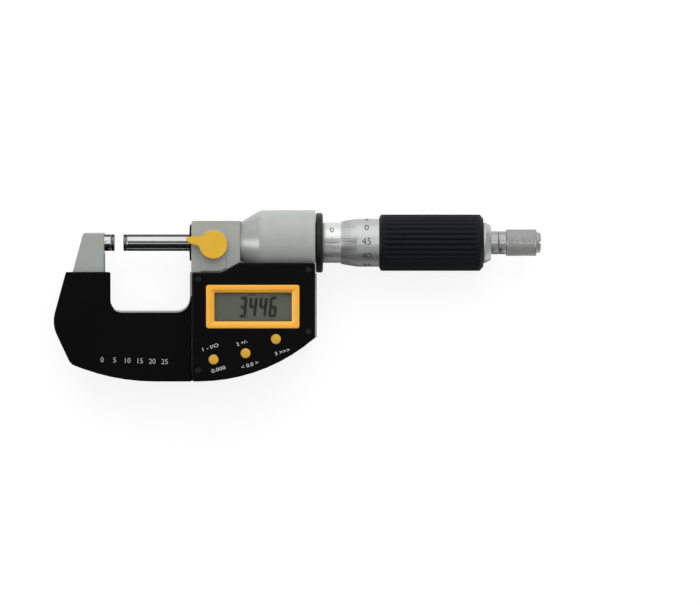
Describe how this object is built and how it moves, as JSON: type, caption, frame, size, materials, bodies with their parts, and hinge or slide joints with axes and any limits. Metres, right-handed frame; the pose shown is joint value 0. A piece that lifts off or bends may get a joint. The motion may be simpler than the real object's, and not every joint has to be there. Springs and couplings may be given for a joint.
{
  "type": "digital outside micrometer",
  "caption": "Digital outside micrometer with a U-frame, display unit, lock lever, ribbed thimble grip and ratchet stop.",
  "frame": {"origin": "centre of the anvil's measuring face", "axes": "+X along the measuring line from the anvil to the ratchet, +Y from the display unit to the measuring line, +Z out of the display"},
  "size_m": [0.187, 0.0659, 0.0269],
  "materials": {
    "grey_enamel": "baked grey enamel, satin",
    "black_plastic": "moulded, fine texture",
    "black_rubber": "matt",
    "satin_steel": "ground or satin chromed",
    "dark_steel": "blackened",
    "carbide": "ground and lapped",
    "brass": "turned",
    "orange_plastic": "moulded, satin gloss",
    "yellow_enamel": "enamel, satin",
    "board_green": "solder mask",
    "lcd_grey": "liquid crystal glass with its reflector",
    "clear_window": "clear, polished"
  },
  "bodies": {
    "fixed_side": {"adjusting_nut": "dark_steel", "anvil": "satin_steel", "anvil_tip": "carbide", "barrel_ring": "black_plastic", "battery": "satin_steel", "battery_contact": "brass", "circuit_board": "board_green", "data_connector": "brass", "data_port_cover": "black_plastic", "data_port_screw_1": "dark_steel", "data_port_screw_2": "dark_steel", "display_bezel": "orange_plastic", "display_housing": "black_plastic", "display_window": "clear_window", "encoder_stator": "board_green", "frame": "grey_enamel", "front_bush": "brass", "front_frame_cover": "black_plastic", "housing_gasket": "black_rubber", "housing_screw_1": "dark_steel", "housing_screw_2": "dark_steel", "housing_screw_3": "dark_steel", "housing_screw_4": "dark_steel", "inner_sleeve": "satin_steel", "lcd_connector_lower": "black_rubber", "lcd_connector_upper": "black_rubber", "lcd_glass": "lcd_grey", "lock_pad": "brass", "rear_cover": "black_plastic", "rear_frame_cover": "black_plastic", "rear_screw_1": "dark_steel", "rear_screw_2": "dark_steel", "rear_screw_3": "dark_steel", "rear_screw_4": "dark_steel", "seal_retainer": "black_plastic", "sleeve": "satin_steel", "spindle_wiper": "black_rubber", "switch_1": "dark_steel", "switch_2": "dark_steel", "switch_3": "dark_steel"},
    "encoder_rotor_set": {"encoder_rotor": "brass", "rotor_key": "satin_steel"},
    "spindle_set": {"spindle": "satin_steel", "spindle_tip": "carbide", "thimble": "satin_steel", "thimble_grip": "black_rubber", "thimble_end_cap": "satin_steel", "ratchet_stem": "satin_steel", "ratchet_pawl": "dark_steel", "ratchet_spring": "satin_steel", "ratchet_screw": "satin_steel"},
    "ratchet": {"ratchet_knob": "satin_steel"},
    "lever": {"lock_lever": "yellow_enamel", "lock_shaft": "satin_steel"},
    "power_button": {"power_button": "orange_plastic"},
    "origin_button": {"origin_button": "orange_plastic"},
    "data_button": {"data_button": "orange_plastic"},
    "battery_cap": {"battery_cap": "black_plastic"}
  },
  "joints": [
    {"name": "thimble_turn", "type": "hinge", "parent": "fixed_side", "child": "encoder_rotor_set", "pos_m": [0, 0, 0], "axis": [1, 0, 0], "range_deg": [-2481.2, 15519]},
    {"name": "spindle_feed", "type": "slide", "parent": "encoder_rotor_set", "child": "spindle_set", "axis": [1, 0, 0], "range_m": [-0.00345, 0.02155]},
    {"name": "ratchet_turn", "type": "hinge", "parent": "spindle_set", "child": "ratchet", "pos_m": [0, 0, 0], "axis": [1, 0, 0], "continuous": true},
    {"name": "lock_lever_turn", "type": "hinge", "parent": "fixed_side", "child": "lever", "pos_m": [0.0382, -0.0009, 0], "axis": [0, 0, 1], "range_deg": [0, 50]},
    {"name": "power_press", "type": "slide", "parent": "fixed_side", "child": "power_button", "axis": [0, 0, -1], "range_m": [0, 0.0005], "stiffness_N_per_m": 600, "springref_m": -0.001},
    {"name": "origin_press", "type": "slide", "parent": "fixed_side", "child": "origin_button", "axis": [0, 0, -1], "range_m": [0, 0.0005], "stiffness_N_per_m": 600, "springref_m": -0.001},
    {"name": "data_press", "type": "slide", "parent": "fixed_side", "child": "data_button", "axis": [0, 0, -1], "range_m": [0, 0.0005], "stiffness_N_per_m": 600, "springref_m": -0.001},
    {"name": "battery_cap_turn", "type": "hinge", "parent": "fixed_side", "child": "battery_cap", "pos_m": [0.054, -0.031, -0.0128], "axis": [0, 0, -1], "range_deg": [0, 45]}
  ],
  "couplings": [
    {"joint": "thimble_turn", "follows": "spindle_feed", "rad_per_m": 12566}
  ]
}
